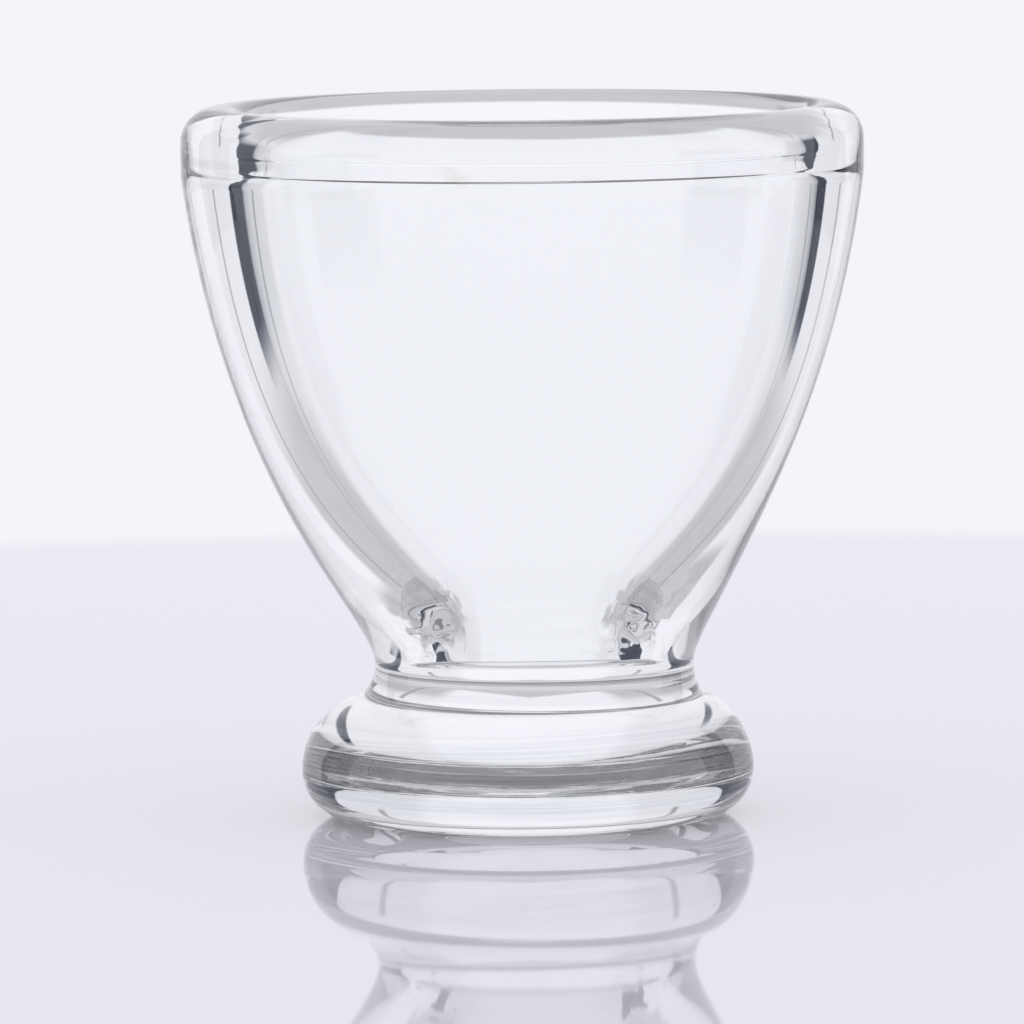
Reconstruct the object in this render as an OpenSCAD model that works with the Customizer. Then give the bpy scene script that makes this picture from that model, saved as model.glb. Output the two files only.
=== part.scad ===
// Glass eye bath: an oval cup with a thick rounded rim, on a short neck and a round foot.
// Millimetres, +Z up. The origin is the centre of the foot's underside, and X runs along
// the mouth's long axis. Each section of the glass is a solid of its own, and it meets
// the next one face to face where the hot glass was joined.
// "End" sizes are taken at the two ends of the oval, along X, and "side" sizes along Y.

/* [Mouth] */
// Length of the oval mouth over its outside, along X
mouth_length = 50; // [46:1:58]
// Width of the oval mouth over its outside, along Y
mouth_width = 39.6; // [36:0.2:46]
// Height of the whole cup, from the table to the crest of the rim
cup_height = 52.2; // [46:0.2:60]

/* [Rim] */
// Height of the thickened rim, from its joint with the bowl to its crest
rim_height = 5.6; // [5.2:0.1:7]
// Thickness of the lip at the ends of the oval
lip_wall_end = 4.8; // [4.6:0.1:6]
// Thickness of the lip at the sides of the oval
lip_wall_side = 4.5; // [4.3:0.1:5.6]
// Height of the lip's innermost place above the rim's joint
lip_rise = 2.8; // [2.2:0.1:3.4]
// How far the lip draws back from there down to the small step under it
lip_draw = 0.25; // [0:0.05:0.3]
// Height of the small step between the lip and the bowl's wall
step_height = 0.85; // [0.5:0.05:1.2]
// Height over which the outside swells to the mouth's full size
swell_height = 1.2; // [0.6:0.1:2]
// Radius of the rim's outer corner
rim_outer_round = 2.6; // [2:0.1:3]
// Depth of the rounding from the crest to the lip, across the wall
rim_inner_round = 1.7; // [0.8:0.1:2]

/* [Bowl] */
// Thickness of the bowl's wall under the rim
bowl_wall = 4.1; // [3.2:0.05:4.2]
// Radius of the hollow at its floor
floor_radius = 6.3; // [5:0.1:8]
// Radius of the hollow's bottom corner
floor_corner = 0.8; // [0.4:0.1:1.2]
// Thickness of glass between the hollow's floor and the neck
floor_thickness = 1.6; // [1.2:0.1:3]
// Upright reach of the outer curve as it leaves the waist
outer_low_reach = 3.2; // [1:0.1:5]
// Upright reach of the outer curve down from the rim
outer_high_reach = 22.3; // [12:0.1:24]
// How far the outer curve leans in over that reach, at the ends
outer_lean_end = 3.1; // [1:0.1:4]
// How far the outer curve leans in over that reach, at the sides
outer_lean_side = 2; // [0.5:0.1:3]
// Upright reach of the inner curve as it leaves the hollow's floor
inner_low_reach = 5; // [2:0.1:8]
// Upright reach of the inner curve down from the rim
inner_high_reach = 25.3; // [14:0.1:27]
// How far the inner curve leans in over that reach, at the ends
inner_lean_end = 2.6; // [1:0.1:4]
// How far the inner curve leans in over that reach, at the sides
inner_lean_side = 1.9; // [0.5:0.1:3]

/* [Neck] */
// Diameter of the cup at its waist
waist_d = 23.4; // [20:0.2:27]
// Height of the waist above the joint of neck and bowl
waist_rise = 0.8; // [0.4:0.1:1.6]
// Height of the neck, from the foot to its joint with the bowl
neck_height = 1.6; // [1.2:0.05:3]
// How far the neck widens from the waist to the crease above the foot
neck_flare = 0.9; // [0.6:0.05:2.4]

/* [Foot] */
// How far the foot stands out beyond the crease
foot_overhang = 4; // [2:0.05:5]
// Height of the foot, up to the crease where the neck starts
foot_height = 8.8; // [6.5:0.05:10]
// Radius of the foot's lower edge, and the height at which the foot is widest
edge_round = 3.4; // [2:0.1:4]

/* [Hidden] */
glass_tint = [0.86, 0.90, 0.93, 0.55];
// Facets round the oval sections, steps along a bowl curve and steps round a corner
oval_sides = 48;
curve_steps = 16;
corner_steps = 6;
// Least flat stretch that the two corners leave on the rim's crest
crest_flat = 0.2;
$fn = 96;

// Radii from the waist outwards
waist_r = waist_d / 2;
crease_r = waist_r + neck_flare;
foot_r = crease_r + foot_overhang;

// Heights from the table up
crease_z = foot_height;
neck_joint_z = crease_z + neck_height;
waist_z = neck_joint_z + waist_rise;
floor_z = neck_joint_z + floor_thickness;
corner_z = floor_z + floor_corner;
rim_joint_z = cup_height - rim_height;
lip_z = rim_joint_z + lip_rise;
step_z = rim_joint_z + step_height;

// The radius of an arc that starts upright and moves over and up by these amounts
function arc_radius(over, up) = (over * over + up * up) / (2 * over);
neck_round = arc_radius(neck_flare, waist_z - crease_z);
shoulder_round = arc_radius(foot_overhang, crease_z - edge_round);

// The rim's corners, limited by the thinnest place of the lip
corner_share = min(1, (min(lip_wall_end, lip_wall_side) - crest_flat) / (rim_outer_round + rim_inner_round));
outer_round = corner_share * rim_outer_round;
inner_round = corner_share * rim_inner_round;

// How far the bowl's top lies inside the mouth's outline, so that the rim swells on along the bowl's lean
function rim_swell(outer_lean) = outer_lean / outer_high_reach * swell_height / 2;

// Rows of outline points, each a distance from the axis and a height
function cubic(p, t) =
    pow(1 - t, 3) * p[0] + 3 * pow(1 - t, 2) * t * p[1] + 3 * (1 - t) * t * t * p[2] + pow(t, 3) * p[3];
function curve(p, steps) = [for (i = [0 : steps]) cubic(p, i / steps)];
function corner(centre, across, up, start, end) =
    [for (i = [0 : corner_steps])
        let (turn = start + (end - start) * i / corner_steps)
        centre + [across * cos(turn), up * sin(turn)]];
function after_first(points) = [for (i = [1 : len(points) - 1]) points[i]];
// A wave from one upright place to another, without its first point
function wave(from_r, from_z, to_r, to_z) =
    let (middle_z = (from_z + to_z) / 2)
    after_first(curve([[from_r, from_z], [from_r, middle_z], [to_r, middle_z], [to_r, to_z]], corner_steps));

// The rim's outline: up the swelling outside, over the crest, down the lip and its step to the bowl's wall
function rim_outline(half, lip_wall, outer_lean) =
    let (lip_r = half - lip_wall)
    concat(
        [for (i = [0 : corner_steps])
            let (share = i / corner_steps)
            [half - rim_swell(outer_lean) * pow(1 - share, 2), rim_joint_z + swell_height * share]],
        corner([half - outer_round, cup_height - outer_round], outer_round, outer_round, 0, 90),
        corner([lip_r + inner_round, lip_z], inner_round, cup_height - lip_z, 90, 180),
        [for (i = [1 : corner_steps])
            let (share = i / corner_steps)
            [lip_r + lip_draw * share * share, lip_z - (lip_z - step_z) * share]],
        wave(lip_r + lip_draw, step_z, half - bowl_wall, rim_joint_z));

// The bowl's outline: the neck's arc up to the waist, the outside, and the hollow down to its floor
function bowl_outline(half, outer_lean, inner_lean) =
    let (wall_r = half - bowl_wall, top_r = half - rim_swell(outer_lean))
    concat(
        [for (i = [0 : corner_steps - 1])
            let (drop = waist_rise * (1 - i / corner_steps))
            [waist_r + neck_round - sqrt(neck_round * neck_round - drop * drop), waist_z - drop]],
        curve([[waist_r, waist_z], [waist_r, waist_z + outer_low_reach],
               [top_r - outer_lean, rim_joint_z - outer_high_reach], [top_r, rim_joint_z]], curve_steps),
        curve([[wall_r, rim_joint_z], [wall_r - inner_lean, rim_joint_z - inner_high_reach],
               [floor_radius, corner_z + inner_low_reach], [floor_radius, corner_z]], curve_steps),
        after_first(corner([floor_radius - floor_corner, corner_z], floor_corner, floor_corner, 0, -90)));

// Points of an oval body whose outlines at the ends and at the sides have the same heights
function oval_points(end_outline, side_outline) =
    [for (k = [0 : len(end_outline) - 1], i = [0 : oval_sides - 1])
        let (turn = 360 * i / oval_sides)
        [end_outline[k][0] * cos(turn), side_outline[k][0] * sin(turn), end_outline[k][1]]];

// Two triangles for each facet between two rings of points
function ring_faces(low, high) =
    [for (i = [0 : oval_sides - 1])
        let (j = (i + 1) % oval_sides)
        each [[low * oval_sides + i, high * oval_sides + i, low * oval_sides + j],
              [low * oval_sides + j, high * oval_sides + i, high * oval_sides + j]]];
function disc_face(ring) = [for (i = [0 : oval_sides - 1]) ring * oval_sides + i];
function reversed(list) = [for (i = [len(list) - 1 : -1 : 0]) list[i]];

module rim() {
    ends = rim_outline(mouth_length / 2, lip_wall_end, outer_lean_end);
    sides = rim_outline(mouth_width / 2, lip_wall_side, outer_lean_side);
    rings = len(ends);
    color(glass_tint)
        polyhedron(
            points = oval_points(ends, sides),
            faces = [for (k = [0 : rings - 1]) each ring_faces(k, (k + 1) % rings)],
            convexity = 6);
}

module bowl() {
    ends = bowl_outline(mouth_length / 2, outer_lean_end, inner_lean_end);
    sides = bowl_outline(mouth_width / 2, outer_lean_side, inner_lean_side);
    rings = len(ends);
    color(glass_tint)
        polyhedron(
            points = oval_points(ends, sides),
            faces = concat(
                [disc_face(0)],
                [for (k = [0 : rings - 2]) each ring_faces(k, k + 1)],
                [reversed(disc_face(rings - 1))]),
            convexity = 6);
}

module neck() {
    color(glass_tint)
        rotate_extrude()
            difference() {
                translate([0, crease_z])
                    square([waist_r + neck_round, neck_height]);
                translate([waist_r + neck_round, waist_z])
                    circle(r = neck_round);
            }
}

module foot() {
    color(glass_tint)
        rotate_extrude()
            intersection() {
                square([foot_r, crease_z]);
                union() {
                    square([foot_r - edge_round, edge_round]);
                    translate([foot_r - edge_round, edge_round])
                        circle(r = edge_round);
                    translate([0, edge_round])
                        square([foot_r - shoulder_round, crease_z - edge_round]);
                    intersection() {
                        translate([foot_r - shoulder_round, edge_round])
                            circle(r = shoulder_round);
                        translate([0, edge_round])
                            square([foot_r, crease_z]);
                    }
                }
            }
}

rim();
bowl();
neck();
foot();
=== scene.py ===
# %% [markdown]
# # A pressed-glass eye bath
# This lesson dresses a small apothecary cup in clear glass. The cup stands on a doughnut-shaped foot,
# narrows to a neck, and opens into an oval bowl whose thick rim seals against the eye socket. The solid
# model of the cup is loaded first and is never moved. Each of its four sections then gets a smooth glass
# mesh that stands in its place.

# %% Load the solid model
import math
import bpy
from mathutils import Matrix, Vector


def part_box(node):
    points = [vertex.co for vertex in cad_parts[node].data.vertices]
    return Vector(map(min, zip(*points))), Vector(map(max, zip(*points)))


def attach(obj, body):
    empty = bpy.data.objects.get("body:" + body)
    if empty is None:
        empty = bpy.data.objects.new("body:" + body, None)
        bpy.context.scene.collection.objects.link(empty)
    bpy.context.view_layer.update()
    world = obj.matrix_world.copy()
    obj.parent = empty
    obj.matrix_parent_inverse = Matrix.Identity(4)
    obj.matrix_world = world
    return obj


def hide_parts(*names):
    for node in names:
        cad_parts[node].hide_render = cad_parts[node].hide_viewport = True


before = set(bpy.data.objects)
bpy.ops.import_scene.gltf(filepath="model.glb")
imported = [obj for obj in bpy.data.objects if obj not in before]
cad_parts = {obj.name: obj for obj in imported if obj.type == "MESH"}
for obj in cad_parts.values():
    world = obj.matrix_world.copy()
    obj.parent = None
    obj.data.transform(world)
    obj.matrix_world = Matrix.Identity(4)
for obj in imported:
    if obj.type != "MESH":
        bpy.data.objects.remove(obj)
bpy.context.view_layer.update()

# %% [markdown]
# Heights and radii come from the boxes of the solid sections, so the glass follows the solids if they
# change. They could be typed in again, but then the two models would drift apart. Only the shapes between
# those limits, such as the waist and the thickness of the wall, are named in the cells below.

# %% Read the cup's main sizes
MM = 0.001
rim_low, rim_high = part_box("rim")
neck_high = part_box("neck")[1]
foot_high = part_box("foot")[1]
mouth_half_length = rim_high[0]
mouth_half_width = rim_high[1]
cup_height = rim_high[2]
rim_joint_z = rim_low[2]
neck_joint_z = neck_high[2]
crease_z = foot_high[2]
crease_radius = neck_high[0]
foot_radius = foot_high[0]
print("mouth", mouth_half_length * 2, "by", mouth_half_width * 2, "height", cup_height)

# %% [markdown]
# The photograph was taken with a long lens from a little above the table, so the foot shows as a flat
# ellipse and the rim as an even flatter one. The camera comes first, because every finish is judged through
# it. How flat the foot's ellipse is gives the camera's rise, and the size of the foot in the picture gives
# the lens for the distance.

# %% Place the camera
PICTURE_SIZE = 1024
PIXELS_PER_MM = 13.59
FOOT_FLATNESS = 0.13
SENSOR_WIDTH = 36.0
camera_distance = 818 * MM
camera_rise = math.asin(FOOT_FLATNESS)
focal_pixels = camera_distance / MM * PIXELS_PER_MM
camera_data = bpy.data.cameras.new("photo_camera")
camera = bpy.data.objects.new("photo_camera", camera_data)
bpy.context.scene.collection.objects.link(camera)
bpy.context.scene.camera = camera
camera_data.sensor_width = SENSOR_WIDTH
camera_data.lens = SENSOR_WIDTH * focal_pixels / PICTURE_SIZE
camera_data.clip_start = 0.01
camera_data.clip_end = 50.0
camera_y = -camera_distance * math.cos(camera_rise)
camera_z = camera_distance * math.sin(camera_rise)
camera.location = (0, camera_y, camera_z)
print("camera is", round(camera_z / MM), "mm above the table, lens", round(camera_data.lens), "mm")

# %% [markdown]
# The cup stands low in the picture and a little to the right, and the picture is turned by half a degree. A
# Track To constraint would put the foot in the middle, so the camera is turned by angles instead. They come
# from where the foot's middle lies in the picture, measured from the picture's own middle.

# %% Aim the camera
FOOT_IN_PICTURE = (528.5, 813.0)
CAMERA_ROLL = math.radians(0.55)
foot_right, foot_down = [place - PICTURE_SIZE / 2 for place in FOOT_IN_PICTURE]
across = foot_right * math.cos(CAMERA_ROLL) - foot_down * math.sin(CAMERA_ROLL)
down = foot_right * math.sin(CAMERA_ROLL) + foot_down * math.cos(CAMERA_ROLL)
look_down = camera_rise - math.atan(down / focal_pixels)
look_left = math.atan(across / focal_pixels)
camera.rotation_euler = (math.pi / 2 - look_down, 0, look_left)
camera.rotation_euler.rotate_axis("Z", -CAMERA_ROLL)
print("camera looks down by", round(math.degrees(look_down), 2), "degrees")

# %% [markdown]
# Pressed glass takes its outlines from a mould and a plunger, which are turned on a lathe from arcs and long
# easy curves. Two small helpers give rows of outline points, each a distance from the axis and a height: an
# arc, which may be flattened, and a cubic curve. A third gives the radius of an arc that starts upright.

# %% Outline helpers
ARC_STEPS = 40
CURVE_STEPS = 72


def arc(centre, across, up, start, end):
    turns = [math.radians(start + (end - start) * i / ARC_STEPS) for i in range(ARC_STEPS + 1)]
    return [(centre[0] + across * math.cos(t), centre[1] + up * math.sin(t)) for t in turns]


def curve(a, b, c, d):
    points = []
    for i in range(CURVE_STEPS + 1):
        t = i / CURVE_STEPS
        weights = ((1 - t) ** 3, 3 * (1 - t) ** 2 * t, 3 * (1 - t) * t * t, t ** 3)
        points.append(tuple(sum(w * p[k] for w, p in zip(weights, (a, b, c, d))) for k in (0, 1)))
    return points


def upright_arc_radius(over, up):
    return (over * over + up * up) / (2 * over)


print("an arc has", ARC_STEPS + 1, "points and a bowl curve", CURVE_STEPS + 1)

# %% [markdown]
# Cheap pressed glass is never quite true. Here the waist stands a little to one side of the foot and the
# rim, and the plunger went in a little off centre, so that one wall is thicker than the other. Both faults
# are small, but they are what makes the two sides of the cup look unlike. The outside leans over between
# the foot's shoulder and the waist, and comes back to true above it. A bell curve does that without a kink.

# %% Faults of the pressing
WAIST_RISE = 0.8 * MM
WAIST_OFFSET = 0.55 * MM
PLUNGER_OFFSET = 0.4 * MM
LEAN_START = 5.6 * MM
LEAN_REACH = 7.8 * MM
waist_z = neck_joint_z + WAIST_RISE


def eased(t):
    t = min(1, max(0, t))
    return t * t * (3 - 2 * t)


def outside_shift(z):
    if z < waist_z:
        return WAIST_OFFSET * eased((z - LEAN_START) / (waist_z - LEAN_START))
    return WAIST_OFFSET * math.exp(-((z - waist_z) / LEAN_REACH) ** 2)


def hollow_shift(z):
    return PLUNGER_OFFSET + outside_shift(z) / 2


print("the waist stands", round(WAIST_OFFSET / MM, 2), "mm to one side")

# %% [markdown]
# The foot and the neck are round. A torus or a cylinder with bevelled edges would come near, but neither
# gives the foot's two different roundings. So the half outline is drawn by extruding a single vertex from
# point to point, and Spin then turns it round the axis, as on a lathe. Spin can leave faces pointing
# inwards, so doubles are merged first and the normals are recalculated after that. The lean comes last.

# %% Turn round sections on the axis
SPIN_STEPS = 320
MERGE_WITHIN = 0.001 * MM
SMOOTH_ANGLE = math.radians(40)


def turned_glass(name, outline):
    bpy.ops.object.select_all(action="DESELECT")
    bpy.ops.mesh.primitive_plane_add(size=MM, location=(0, 0, 0))
    piece = bpy.context.object
    piece.name = name
    bpy.ops.object.mode_set(mode="EDIT")
    bpy.ops.mesh.merge(type="CENTER")
    bpy.ops.transform.translate(value=(outline[0][0], 0, outline[0][1]))
    for last, point in zip(outline, outline[1:]):
        step = (point[0] - last[0], 0, point[1] - last[1])
        bpy.ops.mesh.extrude_vertices_move(TRANSFORM_OT_translate={"value": step})
    bpy.ops.mesh.select_all(action="SELECT")
    bpy.ops.mesh.spin(steps=SPIN_STEPS, angle=2 * math.pi, center=(0, 0, 0), axis=(0, 0, 1))
    bpy.ops.mesh.select_all(action="SELECT")
    bpy.ops.mesh.remove_doubles(threshold=MERGE_WITHIN)
    bpy.ops.mesh.normals_make_consistent(inside=False)
    bpy.ops.object.mode_set(mode="OBJECT")
    bpy.ops.object.shade_smooth_by_angle(angle=SMOOTH_ANGLE)
    for vertex in piece.data.vertices:
        vertex.co.x += outside_shift(vertex.co.z)
    print(name, "has", len(piece.data.polygons), "faces")
    return piece


print("a turned section goes round in", SPIN_STEPS, "steps")

# %% [markdown]
# The foot is a fat doughnut edge round a solid disc. Its lower edge is a small arc up to the widest place,
# and its shoulder is a larger arc from there to the crease where the neck starts. Two plain arcs are enough,
# because both are upright where they meet and so leave no edge.

# %% Foot
EDGE_ROUND = 3.4 * MM
shoulder_rise = crease_z - EDGE_ROUND
shoulder_round = upright_arc_radius(foot_radius - crease_radius, shoulder_rise)
shoulder_turn = math.degrees(math.asin(shoulder_rise / shoulder_round))
shoulder_centre = (foot_radius - shoulder_round, EDGE_ROUND)
edge_centre = (foot_radius - EDGE_ROUND, EDGE_ROUND)
foot_outline = [(0, 0)]
foot_outline += arc(edge_centre, EDGE_ROUND, EDGE_ROUND, -90, 0)
foot_outline += arc(shoulder_centre, shoulder_round, shoulder_round, 0, shoulder_turn)[1:]
foot_outline += [(0, crease_z)]
foot = turned_glass("foot_glass", foot_outline)

# %% [markdown]
# The neck is a short hollow arc, like the scotia of a column base. The same arc runs on into the bowl, up to
# the waist, so that the joint between the two does not show.

# %% Neck
WAIST_RADIUS = 11.7 * MM
neck_round = upright_arc_radius(crease_radius - WAIST_RADIUS, waist_z - crease_z)
neck_centre = (WAIST_RADIUS + neck_round, waist_z)


def turn_on_neck(z):
    return 180 + math.degrees(math.asin((waist_z - z) / neck_round))


neck_side = arc(neck_centre, neck_round, neck_round, turn_on_neck(crease_z), turn_on_neck(neck_joint_z))
neck = turned_glass("neck_glass", [(0, crease_z)] + neck_side + [(0, neck_joint_z)])

# %% [markdown]
# The bowl and the rim are oval at the mouth and round at the waist, so they can't be spun. They are drawn
# up ring by ring, as a modeller draws up a vase: a circle is added, its edges are extruded, and each new
# ring is lifted and resized by one amount along the length and by another along the width. Bridging the
# two open edge loops closes a tube, and a face on the first and the last ring closes a cup.

# %% Draw up oval sections ring by ring
RING_SIDES = 320


def rings_of(ends, sides, shifts):
    rows = zip(ends, sides, shifts)
    return [{"end": end[0], "side": side[0], "z": end[1], "x": shift} for end, side, shift in rows]


def ring_step(last, ring):
    lift = (ring["x"] - last["x"], 0, ring["z"] - last["z"])
    bpy.ops.mesh.extrude_edges_move(TRANSFORM_OT_translate={"value": lift})
    grow = (ring["end"] / last["end"], ring["side"] / last["side"], 1)
    bpy.ops.transform.resize(value=grow, center_override=(ring["x"], 0, ring["z"]))


def drawn_glass(name, rings, is_tube):
    first = rings[0]
    bpy.ops.object.select_all(action="DESELECT")
    bpy.ops.mesh.primitive_circle_add(vertices=RING_SIDES, radius=1, fill_type="NOTHING",
                                      location=(0, 0, 0))
    piece = bpy.context.object
    piece.name = name
    bpy.ops.object.mode_set(mode="EDIT")
    bpy.ops.transform.resize(value=(first["end"], first["side"], 1))
    bpy.ops.transform.translate(value=(first["x"], 0, first["z"]))
    if not is_tube:
        bpy.ops.mesh.edge_face_add()
        bpy.ops.mesh.select_mode(type="EDGE")
    for last, ring in zip(rings, rings[1:]):
        ring_step(last, ring)
    if is_tube:
        bpy.ops.mesh.select_non_manifold(extend=False)
        bpy.ops.mesh.bridge_edge_loops()
    else:
        bpy.ops.mesh.edge_face_add()
    bpy.ops.mesh.select_all(action="SELECT")
    bpy.ops.mesh.normals_make_consistent(inside=False)
    bpy.ops.object.mode_set(mode="OBJECT")
    bpy.ops.object.shade_smooth_by_angle(angle=SMOOTH_ANGLE)
    print(name, "has", len(piece.data.polygons), "faces")
    return piece


print("a drawn ring has", RING_SIDES, "sides")

# %% [markdown]
# The bowl's outside follows one long curve from the waist to the rim, and the plunger's curve inside it
# leaves a wall of about four millimetres at the top and thicker glass low down. A wall of even thickness
# from Solidify would be quicker, but it would bend the light wrongly. So both curves are worked out twice,
# at the ends of the oval and at its sides. A reach is how far a curve keeps its first direction, and a lean
# is how far it comes in over the upper reach.

# %% Curves of the bowl
BOWL_WALL = 4.15 * MM
FLOOR_RADIUS = 6.3 * MM
FLOOR_CORNER = 0.8 * MM
FLOOR_THICKNESS = 1.6 * MM
OUTER_LOW_REACH = 3.2 * MM
OUTER_HIGH_REACH = 22.3 * MM
INNER_LOW_REACH = 5 * MM
INNER_HIGH_REACH = 25.3 * MM
SWELL_HEIGHT = 1.2 * MM
floor_z = neck_joint_z + FLOOR_THICKNESS
corner_z = floor_z + FLOOR_CORNER


def rim_swell(outer_lean):
    return outer_lean / OUTER_HIGH_REACH * SWELL_HEIGHT / 2


def bowl_outside(half, outer_lean):
    top = half - rim_swell(outer_lean)
    waist_side = arc(neck_centre, neck_round, neck_round, turn_on_neck(neck_joint_z), 180)
    return waist_side + curve((WAIST_RADIUS, waist_z), (WAIST_RADIUS, waist_z + OUTER_LOW_REACH),
                              (top - outer_lean, rim_joint_z - OUTER_HIGH_REACH), (top, rim_joint_z))[1:]


def bowl_inside(half, inner_lean):
    wall = half - BOWL_WALL
    hollow = curve((wall, rim_joint_z), (wall - inner_lean, rim_joint_z - INNER_HIGH_REACH),
                   (FLOOR_RADIUS, corner_z + INNER_LOW_REACH), (FLOOR_RADIUS, corner_z))
    return hollow + arc((FLOOR_RADIUS - FLOOR_CORNER, corner_z), FLOOR_CORNER, FLOOR_CORNER, 0, -90)[1:]


print("the hollow's floor is", round(floor_z / MM, 1), "mm above the table")

# %% [markdown]
# The bowl is drawn from the neck's joint up the outside to the rim, and from there down the hollow to its
# floor. Each ring takes its place along the length from the faults of the pressing.

# %% Bowl
END_OUTER_LEAN = 3.1 * MM
END_INNER_LEAN = 2.6 * MM
SIDE_OUTER_LEAN = 2.0 * MM
SIDE_INNER_LEAN = 1.9 * MM
outside_ends = bowl_outside(mouth_half_length, END_OUTER_LEAN)
outside_sides = bowl_outside(mouth_half_width, SIDE_OUTER_LEAN)
outside_rings = rings_of(outside_ends, outside_sides, [outside_shift(z) for r, z in outside_ends])
inside_ends = bowl_inside(mouth_half_length, END_INNER_LEAN)
inside_sides = bowl_inside(mouth_half_width, SIDE_INNER_LEAN)
inside_rings = rings_of(inside_ends, inside_sides, [hollow_shift(z) for r, z in inside_ends])
bowl = drawn_glass("bowl_glass", outside_rings + inside_rings, is_tube=False)

# %% [markdown]
# The plunger chilled the glass first at the bottom of the hollow, and left small ripples round its
# corner. They could be sculpted, but a Displace modifier with a cloud texture does it in one go. A vertex
# group keeps it to the lower part of the hollow at both ends, and fades it out towards the floor, up the
# wall and along the sides.

# %% Where the ripples lie
RIPPLE_REACH = 5.5 * MM
RIPPLE_FADE_ABOVE = 3 * MM
RIPPLE_SIDES_FROM = 3.4 * MM
RIPPLE_FADE_BESIDE = 2 * MM
ripple_top = floor_z + RIPPLE_REACH
ripple_group = bowl.vertex_groups.new(name="ripples")
outside_count = len(outside_rings) * RING_SIDES
for vertex in bowl.data.vertices:
    if vertex.index < outside_count or vertex.co.z > ripple_top:
        continue
    up = eased((vertex.co.z - floor_z) / (2 * FLOOR_CORNER))
    down = eased((ripple_top - vertex.co.z) / RIPPLE_FADE_ABOVE)
    beside = eased((abs(vertex.co.x) - RIPPLE_SIDES_FROM) / RIPPLE_FADE_BESIDE)
    ripple_group.add([vertex.index], up * down * beside, "REPLACE")
print("ripples reach", round(RIPPLE_REACH / MM, 1), "mm up the hollow")

# %% [markdown]
# The texture is read in the mesh's own metres, so its noise scale is the size of a ripple. The modifier is
# applied at once, so that the ripples are part of the mesh.

# %% Ripples low in the hollow
RIPPLE_SIZE = 2.4 * MM
RIPPLE_DEPTH = 0.42 * MM
ripple_clouds = bpy.data.textures.new("pressing_ripples", "CLOUDS")
ripple_clouds.noise_scale = RIPPLE_SIZE
ripples = bowl.modifiers.new("ripples", "DISPLACE")
ripples.texture = ripple_clouds
ripples.texture_coords = "LOCAL"
ripples.vertex_group = ripple_group.name
ripples.strength = RIPPLE_DEPTH
bpy.ops.object.select_all(action="DESELECT")
bowl.select_set(True)
bpy.context.view_layer.objects.active = bowl
bpy.ops.object.modifier_apply(modifier=ripples.name)
print("ripples are", RIPPLE_SIZE / MM, "mm wide")

# %% [markdown]
# The rim is a bead of glass a little thicker than the bowl's wall. Its crest has a wide rounding outside,
# lower along the sides than at the ends, and a flatter one inside, down to the lip. Under the lip the bead
# draws back to the wall where the plunger met the ring of the mould. A bevelled step would be too sharp, so
# the inside is worked out height by height: straight between listed thicknesses, and averaged over a short
# stretch so that each edge is rounded, as fire polishing leaves it.

# %% Outline of the rim
END_CORNER = (2.6 * MM, 2.6 * MM)
RIM_INNER_ROUND = 1.7 * MM
LIP_RISE = 2.8 * MM
SIDE_STEPS = 12
LIP_STEPS = 100
POLISH_SHARES = (-1, -0.6, -0.2, 0.2, 0.6, 1)
lip_z = rim_joint_z + LIP_RISE


def straight(z, stations):
    for (high, at_high), (low, at_low) in zip(stations, stations[1:]):
        if z >= low:
            return at_low + (at_high - at_low) * (z - low) / (high - low)
    return stations[-1][1]


def polished(z, stations, reach):
    return sum(straight(z + reach * share, stations) for share in POLISH_SHARES) / len(POLISH_SHARES)


def corner_inset(z, size):
    across, up = size
    rise = max(0, z - cup_height + up) / up
    return across * (1 - math.sqrt(max(0, 1 - rise * rise)))


def bead_stations(bead, inner_lean):
    wall_gain = inner_lean / INNER_HIGH_REACH
    stations = [(rim_joint_z + rise * MM, thickness * MM) for rise, thickness in bead]
    step_foot = stations[-1][0]
    stations[-1] = (step_foot, BOWL_WALL - wall_gain * (step_foot - rim_joint_z))
    return stations + [(rim_joint_z - MM, BOWL_WALL + wall_gain * MM)]


def rim_outline(half, outer_lean, corner, stations, polish):
    shares = [i / SIDE_STEPS for i in range(SIDE_STEPS + 1)]
    outline = [(half - rim_swell(outer_lean) * (1 - s) ** 2, rim_joint_z + SWELL_HEIGHT * s) for s in shares]
    rising = arc((0, cup_height - END_CORNER[1]), 0, END_CORNER[1], 0, 90)
    outline += [(half - corner_inset(z, corner), z) for r, z in rising]
    lip = half - polished(lip_z, stations, polish)
    outline += arc((lip + RIM_INNER_ROUND, lip_z), RIM_INNER_ROUND, cup_height - lip_z, 90, 180)
    heights = [lip_z + (rim_joint_z - lip_z) * i / LIP_STEPS for i in range(1, LIP_STEPS + 1)]
    return outline + [(half - polished(z, stations, polish), z) for z in heights]


print("the lip is", round(lip_z / MM, 1), "mm above the table")

# %% [markdown]
# The bead is listed from the crest down, as heights above the rim's joint and thicknesses, both in
# millimetres. At the ends it is one smooth slope. Along the sides it is two fine steps, which draw the
# lines across the front of the cup. The last thickness of each list gives way to the bowl's own wall
# there. The inside of the rim stands off centre with the plunger, and the outside stands true.

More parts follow.
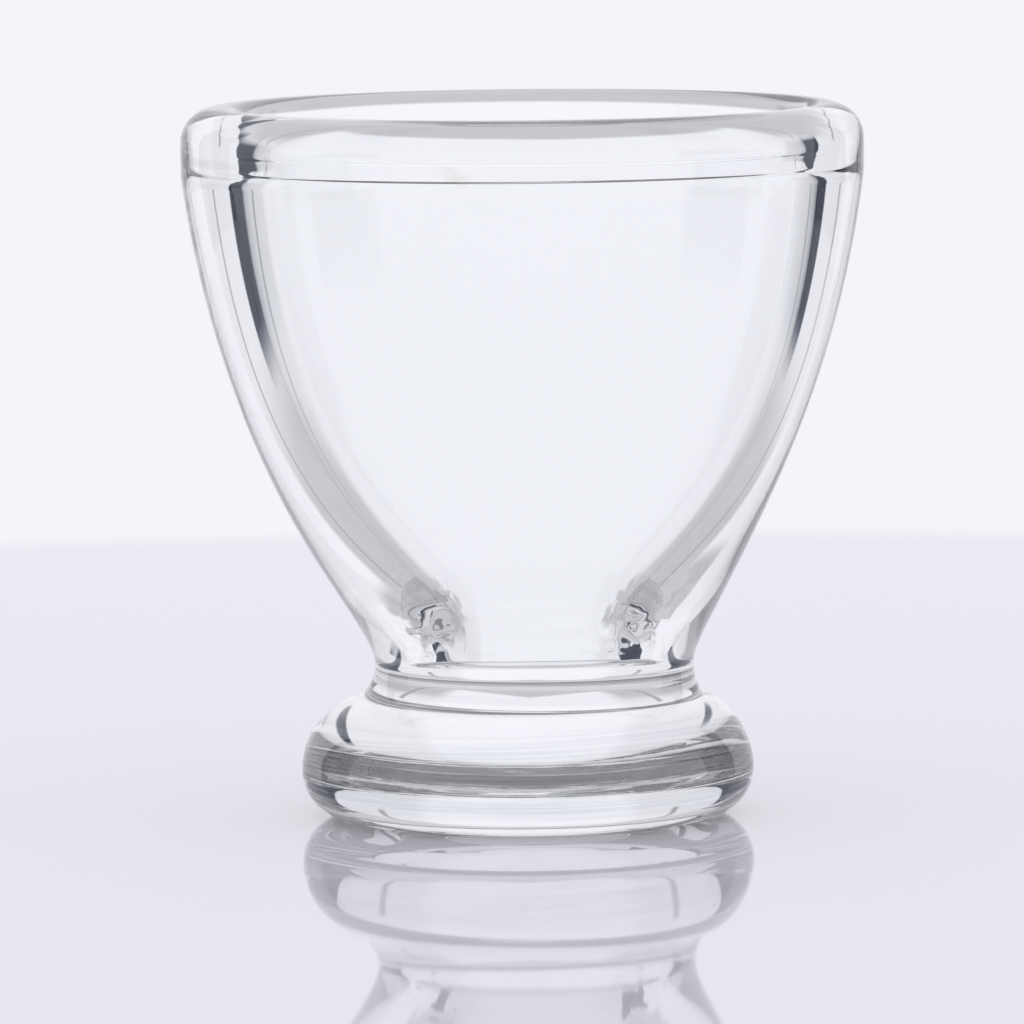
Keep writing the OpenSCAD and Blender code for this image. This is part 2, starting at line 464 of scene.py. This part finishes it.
# %% Rim
SIDE_CORNER = (2.3 * MM, 1.9 * MM)
END_POLISH = 0.25 * MM
SIDE_POLISH = 0.07 * MM
END_BEAD = [(4.4, 4.85), (2.75, 4.85), (2.3, 4.79), (1.8, 4.63), (1.35, 4.4), (0.9, 4.21), (0.5, 4.1)]
SIDE_BEAD = [(4.4, 4.5), (2.8, 4.5), (2.37, 4.49), (2.25, 4.38), (1.2, 4.36), (1.03, 4.1)]
end_stations = bead_stations(END_BEAD, END_INNER_LEAN)
side_stations = bead_stations(SIDE_BEAD, SIDE_INNER_LEAN)
rim_ends = rim_outline(mouth_half_length, END_OUTER_LEAN, END_CORNER, end_stations, END_POLISH)
rim_sides = rim_outline(mouth_half_width, SIDE_OUTER_LEAN, SIDE_CORNER, side_stations, SIDE_POLISH)
inward = [(mouth_half_length - r - END_CORNER[0]) / (BOWL_WALL - END_CORNER[0]) for r, z in rim_ends]
rim_rings = rings_of(rim_ends, rim_sides, [PLUNGER_OFFSET * eased(share) for share in inward])
rim = drawn_glass("rim_glass", rim_rings, is_tube=True)

# %% [markdown]
# The finishes are made of nodes, and a few short helpers keep them readable. Each one adds a node to the
# node tree at hand, joins its inputs, and gives back its output: arithmetic, a soft step, a stretch between
# two steps, and a blend of numbers or of colours.

# %% Node helpers
def new_material(name):
    material = bpy.data.materials.new(name)
    material.use_nodes = True
    return material, material.node_tree.nodes, material.node_tree.links


def join(value, socket):
    if isinstance(value, (int, float, tuple)):
        socket.default_value = value
    else:
        links.new(value, socket)


def math_node(operation, a, b=None):
    node = nodes.new("ShaderNodeMath")
    node.operation = operation
    join(a, node.inputs[0])
    if b is not None:
        join(b, node.inputs[1])
    return node.outputs[0]


def step_up(value, low, high, before, after):
    node = nodes.new("ShaderNodeMapRange")
    node.interpolation_type = "SMOOTHSTEP"
    for socket, number in (("From Min", low), ("From Max", high), ("To Min", before), ("To Max", after)):
        node.inputs[socket].default_value = number
    links.new(value, node.inputs["Value"])
    return node.outputs[0]


def between(value, low, high, soft):
    rise = step_up(value, low - soft, low + soft, 0, 1)
    return math_node("MULTIPLY", rise, step_up(value, high - soft, high + soft, 1, 0))


def blend(factor, a, b):
    node = nodes.new("ShaderNodeMix")
    join(factor, node.inputs[0])
    join(a, node.inputs[2])
    join(b, node.inputs[3])
    return node.outputs[0]


def colour_blend(factor, a, b):
    node = nodes.new("ShaderNodeMix")
    node.data_type = "RGBA"
    join(factor, node.inputs["Factor"])
    join(a, node.inputs[6])
    join(b, node.inputs[7])
    return node.outputs[2]


print("node helpers are ready")

# %% [markdown]
# Clear glass is almost all light from somewhere else: it bends what stands behind it and mirrors the rest.
# What makes it look handled rather than ideal is made first, as separate patterns on Object coordinates, in
# metres. The mould leaves slow waves. Round the foot's widest place runs a belt of fine streaks, where the
# cup has been turned against shelves. The same belt is greyed in patches and streaks as painted shade, for
# the dark band that the thick foot shows. Painted maps would need unwrapping, and cloud patterns that are
# stretched by a Mapping node do not.

# %% Waves, wear and painted shade on the glass
WAVES_PER_METRE = (90, 90, 60)
STREAKS_PER_METRE = (110, 110, 5000)
SHADE_PATCHES_PER_METRE = (130, 130, 700)
SHADE_STREAKS_PER_METRE = (60, 60, 3200)
BELT_LOW = 1.8 * MM
BELT_HIGH = 5.8 * MM
BELT_SOFT = 0.9 * MM
glass, nodes, links = new_material("fire_polished_glass")
place = nodes.new("ShaderNodeTexCoord").outputs["Object"]
place_parts = nodes.new("ShaderNodeSeparateXYZ")
links.new(place, place_parts.inputs[0])
place_z = place_parts.outputs[2]


def clouds(per_metre, detail):
    stretch = nodes.new("ShaderNodeMapping")
    stretch.inputs["Scale"].default_value = per_metre
    links.new(place, stretch.inputs["Vector"])
    noise = nodes.new("ShaderNodeTexNoise")
    noise.inputs["Scale"].default_value = 1
    noise.inputs["Detail"].default_value = detail
    links.new(stretch.outputs[0], noise.inputs["Vector"])
    return noise.outputs[0]


slow_waves = clouds(WAVES_PER_METRE, 1)
foot_belt = between(place_z, BELT_LOW, BELT_HIGH, BELT_SOFT)
streaks = math_node("MULTIPLY", foot_belt, clouds(STREAKS_PER_METRE, 3))
# Painted shade: these patches and streaks grey the foot's belt, for the dark band the thick foot shows.
painted_shade_patches = step_up(clouds(SHADE_PATCHES_PER_METRE, 2), 0.3, 0.7, 0.35, 1)
painted_shade_streaks = step_up(clouds(SHADE_STREAKS_PER_METRE, 4), 0.38, 0.6, 0.35, 1)
painted_belt_shade_mask = math_node("MULTIPLY", math_node("MULTIPLY", foot_belt, painted_shade_patches), painted_shade_streaks)
print("the worn belt is", round((BELT_HIGH - BELT_LOW) / MM, 1), "mm high")

# %% [markdown]
# Dust and small chips show as specks on the dark edges. A Voronoi pattern gives one grain in each cell, its
# random cell colour leaves most cells empty, and slow clouds gather the rest. A little rinse has dried on
# the rim and on the foot's shoulder, and has left faint stains.

# %% Dust and stains on the glass
GRAINS_PER_METRE = 2600
DUST_PER_METRE = (160, 160, 160)
STAINS_PER_METRE = (150, 150, 420)
STAINS_FROM = 5 * MM
cells = nodes.new("ShaderNodeTexVoronoi")
cells.inputs["Scale"].default_value = GRAINS_PER_METRE
links.new(place, cells.inputs["Vector"])
grain_middle = step_up(cells.outputs["Distance"], 0.06, 0.13, 1, 0)
grain_kept = step_up(cells.outputs["Color"], 0.55, 0.7, 0, 1)
dusty = step_up(clouds(DUST_PER_METRE, 2), 0.42, 0.6, 0.2, 1)
specks = math_node("MULTIPLY", dusty, math_node("MULTIPLY", grain_middle, grain_kept))
on_rim = step_up(place_z, rim_joint_z, rim_joint_z + MM, 0, 1)
on_shoulder = between(place_z, STAINS_FROM, crease_z, MM)
dried = step_up(clouds(STAINS_PER_METRE, 3), 0.66, 0.76, 0, 1)
stains = math_node("MULTIPLY", math_node("ADD", on_rim, on_shoulder), dried)
print("dust has", GRAINS_PER_METRE, "cells to the metre")

# %% [markdown]
# Now the patterns drive the shader. The Principled shader makes glass with full transmission and the
# refractive index of soda glass, and both are the same all over, so they stay plain values. The waves and
# streaks are a few thousandths of a millimetre high and go in as bump. Specks scatter light, so they are
# rough spots on the polished surface. The colour is nearly white, a touch greener in the waves, greyer in
# the foot's belt, where the grey is painted shade for the dark band, and slightly brown in the stains.

# %% Fire-polished glass
GLASS_INDEX = 1.52
CLEAR_GLASS = (0.985, 0.99, 0.995, 1)
SHADED_GLASS = (0.97, 0.982, 0.982, 1)
# Painted shade: this grey darkens the foot's belt, for the dark band the thick foot shows.
BELT_SHADE_COLOUR = (0.66, 0.68, 0.70, 1)
DRIED_RINSE = (0.86, 0.80, 0.72, 1)
SPECK_ROUGHNESS = 0.45
STREAK_ROUGHNESS = 0.03
WAVE_HEIGHT = 0.012 * MM
STREAK_HEIGHT = 0.0016 * MM
shader = nodes["Principled BSDF"]
shader.inputs["Transmission Weight"].default_value = 1.0
shader.inputs["IOR"].default_value = GLASS_INDEX
glass_colour = colour_blend(slow_waves, CLEAR_GLASS, SHADED_GLASS)
# Painted shade: the foot's belt is greyed here.
colour_with_belt_shade = colour_blend(painted_belt_shade_mask, glass_colour, BELT_SHADE_COLOUR)
links.new(colour_blend(stains, colour_with_belt_shade, DRIED_RINSE), shader.inputs["Base Color"])
speck_rough = math_node("MULTIPLY", specks, SPECK_ROUGHNESS)
streak_rough = math_node("MULTIPLY", streaks, STREAK_ROUGHNESS)
links.new(math_node("ADD", speck_rough, streak_rough), shader.inputs["Roughness"])
wave_relief = math_node("MULTIPLY", slow_waves, WAVE_HEIGHT)
streak_relief = math_node("MULTIPLY", streaks, STREAK_HEIGHT)
relief = nodes.new("ShaderNodeBump")
relief.inputs["Distance"].default_value = 1
links.new(math_node("ADD", wave_relief, streak_relief), relief.inputs["Height"])
links.new(relief.outputs["Normal"], shader.inputs["Normal"])
print("glass has a refractive index of", GLASS_INDEX)

# %% [markdown]
# Where two sections meet, the real glass is fused and nothing shows. Each mesh is still closed there, for a
# sound solid, so the touching faces get a second material that lets every ray straight through. Those faces
# are found by their height and their upright normal.

# %% Fused joints
JOINT_WITHIN = 0.01 * MM
LEVEL_NORMAL = 0.99
fused, fused_nodes = new_material("fused_joint")[:2]
fused_nodes["Principled BSDF"].inputs["Alpha"].default_value = 0.0


def fuse_joints(piece, heights):
    piece.data.materials.append(glass)
    piece.data.materials.append(fused)
    count = 0
    for face in piece.data.polygons:
        flat = abs(face.normal.z) > LEVEL_NORMAL
        touches = any(abs(face.center.z - z) < JOINT_WITHIN for z in heights)
        face.material_index = 1 if flat and touches else 0
        count += face.material_index
    print(piece.name, "has", count, "fused faces")


fuse_joints(foot, [crease_z])
fuse_joints(neck, [crease_z, neck_joint_z])
fuse_joints(bowl, [neck_joint_z, rim_joint_z])
fuse_joints(rim, [rim_joint_z])

# %% [markdown]
# Each glass section stands for one solid, rides with the cup, and takes its finish from the one glass
# slot. Parenting the meshes by hand would look the same, but would not say which solid each one replaces.

# %% Put the glass in place of the solids
for piece, node in ((rim, "rim"), (bowl, "bowl"), (neck, "neck"), (foot, "foot")):
    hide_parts(node)
    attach(piece, "root")
print("four sections of glass are in place")

# %% [markdown]
# The cup stands on a glossy pale table top, whose far edge melts into the backdrop. A large plane would show
# its corners from some sides, and a disc with a soft edge looks alike from all of them. Light inside the
# glass doesn't see the disc, because the surroundings below give it a table of their own.

# %% Table top
TABLE_RADIUS = 203 * MM
TABLE_DROP = 0.02 * MM
TABLE_SIDES = 128
bpy.ops.object.select_all(action="DESELECT")
bpy.ops.mesh.primitive_circle_add(vertices=TABLE_SIDES, radius=TABLE_RADIUS, fill_type="NGON",
                                  location=(0, 0, -TABLE_DROP))
table = bpy.context.object
table.name = "table_top"
bpy.ops.object.transform_apply(location=True)
table.visible_transmission = False
print("table top is", round(TABLE_RADIUS * 2 / MM), "mm across")

# %% [markdown]
# The table's finish is a pale lacquer, smooth enough to mirror the cup. Its edge fades out by the distance
# from the middle.

# %% Glossy table finish
TABLE_COLOUR = (0.80, 0.79, 0.84, 1)
TABLE_ROUGHNESS = 0.03
EDGE_FADE = 14 * MM
table_finish, nodes, links = new_material("glossy_table")
shader = nodes["Principled BSDF"]
shader.inputs["Base Color"].default_value = TABLE_COLOUR
shader.inputs["Roughness"].default_value = TABLE_ROUGHNESS
length = nodes.new("ShaderNodeVectorMath")
length.operation = "LENGTH"
links.new(nodes.new("ShaderNodeTexCoord").outputs["Object"], length.inputs[0])
fade = step_up(length.outputs["Value"], TABLE_RADIUS - EDGE_FADE, TABLE_RADIUS, 1, 0)
links.new(fade, shader.inputs["Alpha"])
table.data.materials.append(table_finish)
print("the table's edge fades over", round(EDGE_FADE / MM), "mm")

# %% [markdown]
# Glass in front of a bright backdrop needs something dark beside it, or its edges vanish. A photographer
# stands black cards to the left and right, out of the picture, and this world does the same. First comes the
# light without the cards: bright behind the cup and all round it, and grey low down, where the glass bends
# the view onto the table. Each direction has a bearing, which is nothing behind the cup and half a turn at
# the camera, and a height, from -1 straight down to 1 straight up.

# %% Backdrop and table light
BACKDROP_LIGHT = 1.06
SIDE_LIGHT = 0.96
FAR_TABLE_LIGHT = 0.64
NEAR_TABLE_LIGHT = 0.76
EDGE_SLOPE = 0.63
world = bpy.data.worlds.new("studio")
bpy.context.scene.world = world
world.use_nodes = True
nodes, links = world.node_tree.nodes, world.node_tree.links
parts = nodes.new("ShaderNodeSeparateXYZ")
links.new(nodes.new("ShaderNodeTexCoord").outputs["Generated"], parts.inputs[0])
height = parts.outputs[2]
bearing = math_node("ABSOLUTE", math_node("ARCTAN2", parts.outputs[0], parts.outputs[1]))
behind = step_up(bearing, math.radians(17), math.radians(23), 1, 0)
above_edge = math_node("ADD", height, math_node("MULTIPLY", bearing, EDGE_SLOPE))
light_behind = step_up(above_edge, -0.43, -0.35, FAR_TABLE_LIGHT, BACKDROP_LIGHT)
table_light = step_up(bearing, math.radians(70), math.radians(110), FAR_TABLE_LIGHT, NEAR_TABLE_LIGHT)
light_beside = blend(step_up(height, -0.45, -0.2, 0, 1), table_light, SIDE_LIGHT)
open_light = blend(behind, light_beside, light_behind)
print("light behind is", BACKDROP_LIGHT, "and light beside is", SIDE_LIGHT)

# %% [markdown]
# The oval ends of the cup work like lenses laid on their sides, and each looks far round to its own side.
# A tall dark card there draws the dark strip down the rim and the wall, and the two dark ends of the foot.
# The card's top drops away from the backdrop, and so ends the strip part of the way down. A low card
# nearer the camera darkens the thin outer edges of the glass. A thin grey line, the edge of the backdrop,
# draws the fine second line outside the strip. Spans are bearings in degrees.

# %% Dark cards beside the cup
CARD_LIGHT = 0.04
EDGE_LIGHT = 0.45
CARD_SPAN = (48.5, 76)
LOW_CARD_SPAN = (104, 131.5)
EDGE_SPAN = (29.6, 31.4)


def in_span(span, soft):
    return between(bearing, math.radians(span[0]), math.radians(span[1]), math.radians(soft))


card_top = step_up(bearing, math.radians(52), math.radians(60), 0.5, 0.36)
below_top = step_up(math_node("SUBTRACT", height, card_top), -0.03, 0.03, 1, 0)
above_foot = step_up(height, -0.36, -0.235, 0, 1)
card = math_node("MULTIPLY", in_span(CARD_SPAN, 0.8), math_node("MULTIPLY", above_foot, below_top))
low_card = math_node("MULTIPLY", in_span(LOW_CARD_SPAN, 1), between(height, -0.3, -0.05, 0.05))
cards = math_node("MAXIMUM", card, low_card)
backdrop_edge = math_node("MULTIPLY", in_span(EDGE_SPAN, 0.7), step_up(height, -0.05, 0, 1, 0))
light = blend(backdrop_edge, blend(cards, open_light, CARD_LIGHT), EDGE_LIGHT)
print("cards stand at bearings", CARD_SPAN, "and", LOW_CARD_SPAN)

# %% [markdown]
# The camera itself sees only the plain backdrop. Light that has wandered through the thick foot from surface
# to surface comes out dimmer, because the glass keeps a little of it. An absorbing volume would need one
# single mesh, so the world is dimmed for such long ways instead, and the foot gets its dark belt. The cards
# are bluish black, as the strips in the photograph are. Glass needs many bounces, or it turns black.

# %% Studio surroundings
BACKDROP = (0.905, 0.905, 0.955, 1)
CARD_BLUE = (0.8, 0.95, 1.5, 1)
CARD_CORE = 5
LONG_WAY_FROM = 5
LONG_WAY_TO = 8
LONG_WAY_LIGHT = 0.3
GLASS_BOUNCES = 32
rays = nodes.new("ShaderNodeLightPath")
is_camera = rays.outputs["Is Camera Ray"]
long_way = step_up(rays.outputs["Ray Depth"], LONG_WAY_FROM, LONG_WAY_TO, 1, LONG_WAY_LIGHT)
seen = blend(is_camera, math_node("MULTIPLY", light, long_way), 1.0)
card_core = math_node("POWER", cards, CARD_CORE)
tint = math_node("MULTIPLY", math_node("SUBTRACT", 1.0, is_camera), card_core)
background = nodes["Background"]
links.new(colour_blend(tint, BACKDROP, CARD_BLUE), background.inputs["Color"])
links.new(seen, background.inputs["Strength"])
bpy.context.scene.view_settings.view_transform = "Standard"
cycles = bpy.context.scene.cycles
cycles.max_bounces = GLASS_BOUNCES
cycles.transmission_bounces = GLASS_BOUNCES
cycles.glossy_bounces = GLASS_BOUNCES
cycles.transparent_max_bounces = GLASS_BOUNCES
print("light passes up to", GLASS_BOUNCES, "surfaces")

# %% [markdown]
# The glass has to stay inside the solid model's box, or the two models would not fit the same places.

# %% End of the scene
print("the scene is built")
